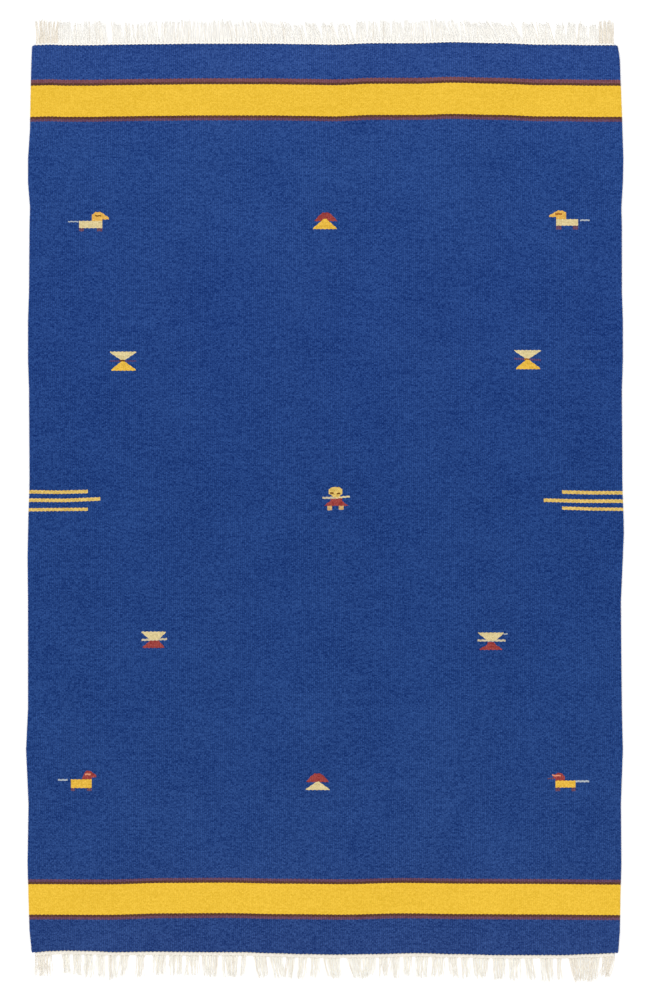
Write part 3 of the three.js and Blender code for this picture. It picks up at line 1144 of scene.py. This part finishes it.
def fringe_mesh(end):
    """The strip that the warps come out of and the free warp ends, with each face's cotton."""
    chance = random.Random(FRINGES[end]["seed"])
    width = FRINGES[end]["strip"]
    edges = (STRIP_GAP, STRIP_GAP + STRIP_ROLL, width - STRIP_ROLL, width)
    breaks = sorted(SIGNS[end] * edge for edge in edges)

    def strip_point(share, out):
        x, y = end_root(end, share)
        return x, y + out

    count = (RIBS - 2 * STRIP_INSET) * len(RIB_LINES)
    strip = Sheet([StripColumn(breaks)] * count, strip_point, STRIP_HEIGHT)
    places = strip.places
    faces = strip.faces
    weave = [(across / RIB_PITCH, along) for across, along in strip.weave]
    shades_used = [FRINGES[end]["strip_shade"]] * len(faces)
    number = RIBS
    for lock in lay_locks(end, chance):
        for index in range(YARNS_IN_LOCK):
            number += 1
            add_tube(yarn_path(end, lock, index, chance), number, places, weave, faces)
            shade = "tan" if chance.random() < lock["tan"] else FRINGES[end]["shade"]
            shades_used += [shade] * (len(faces) - len(shades_used))
    return places, faces, weave, shades_used


# Pieces


def paint(piece, materials, names_by_face):
    """Gives a piece its materials, and each face the one it names."""
    order = list(materials)
    for material in materials.values():
        piece.data.materials.append(material)
    indices = np.array([order.index(name) for name in names_by_face], np.int32)
    piece.data.polygons.foreach_set("material_index", indices)


def make_cloth():
    bands = band_spans()
    patches = all_patches()
    rows = cloth_rows()
    lines = [line_place(number) * RIB_PITCH - CLOTH_WIDTH / 2 for number in range(COLUMNS + 1)]
    columns = [Column(left, right, bands, patches, rows) for left, right in zip(lines, lines[1:])]
    sheet = Sheet(columns, cloth_point, CLOTH_THICKNESS)
    local = np.array(sheet.places)
    low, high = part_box("woven_cloth")
    middle = (low + high) / 2 / METRES
    shift = [middle[axis] - (local[:, axis].min() + local[:, axis].max()) / 2 for axis in (0, 1)]
    shift.append(0)
    cloth = place_mesh("WovenCloth", sheet.places, sheet.faces, sheet.weave, shift)
    paint(cloth, {name: wool(name) for name in YARNS}, sheet.yarns)
    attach(cloth, "root")
    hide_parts("woven_cloth")
    return cloth, shift


def make_fringe(name, end, node, materials, shift):
    places, faces, weave, shades_used = fringe_mesh(end)
    fringe = place_mesh(name, places, faces, weave, shift)
    paint(fringe, materials, shades_used)
    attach(fringe, "root")
    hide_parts(node)
    return fringe


def make_floor():
    bpy.ops.mesh.primitive_plane_add(size=FLOOR_SIZE, location=(0, 0, -FLOOR_DROP))
    floor = bpy.context.object
    floor.name = "Floor"
    nodes = Nodes("floor_paint")
    nodes.shader.inputs["Base Color"].default_value = FLOOR_COLOUR
    nodes.shader.inputs["Roughness"].default_value = FLOOR_ROUGHNESS
    nodes.shader.inputs["Specular IOR Level"].default_value = FLOOR_SPECULAR
    floor.data.materials.append(nodes.material)
    return floor


def make_light():
    world = bpy.data.worlds.new("Sky")
    bpy.context.scene.world = world
    world.use_nodes = True
    sky = world.node_tree.nodes["Background"].inputs
    sky["Color"].default_value = SKY_COLOUR
    sky["Strength"].default_value = SKY_STRENGTH
    lamp = bpy.data.lights.new("Key", "SUN")
    lamp.energy = KEY_STRENGTH
    lamp.angle = math.radians(KEY_ANGLE)
    key = bpy.data.objects.new("Key", lamp)
    key.rotation_euler = [math.radians(angle) for angle in KEY_TILT]
    bpy.context.scene.collection.objects.link(key)


def make_camera(shift):
    lens = bpy.data.cameras.new("Camera")
    lens.sensor_width = CAMERA_SENSOR
    lens.lens = CAMERA_SENSOR * CAMERA_HEIGHT / FRAME_LENGTH
    camera = bpy.data.objects.new("Camera", lens)
    aim = [(CAMERA_AIM[axis] + shift[axis]) * METRES for axis in (0, 1)]
    camera.location = (aim[0], aim[1], CAMERA_HEIGHT + CLOTH_THICKNESS * METRES)
    bpy.context.scene.collection.objects.link(camera)
    bpy.context.scene.camera = camera


bpy.context.scene.view_settings.view_transform = "Standard"
cloth, shift = make_cloth()
warp = {name: cotton(name) for name in COTTON}
far_fringe = make_fringe("FringeFar", "far", "fringe_far_end", warp, shift)
near_fringe = make_fringe("FringeNear", "near", "fringe_near_end", warp, shift)
floor = make_floor()
make_light()
make_camera(shift)
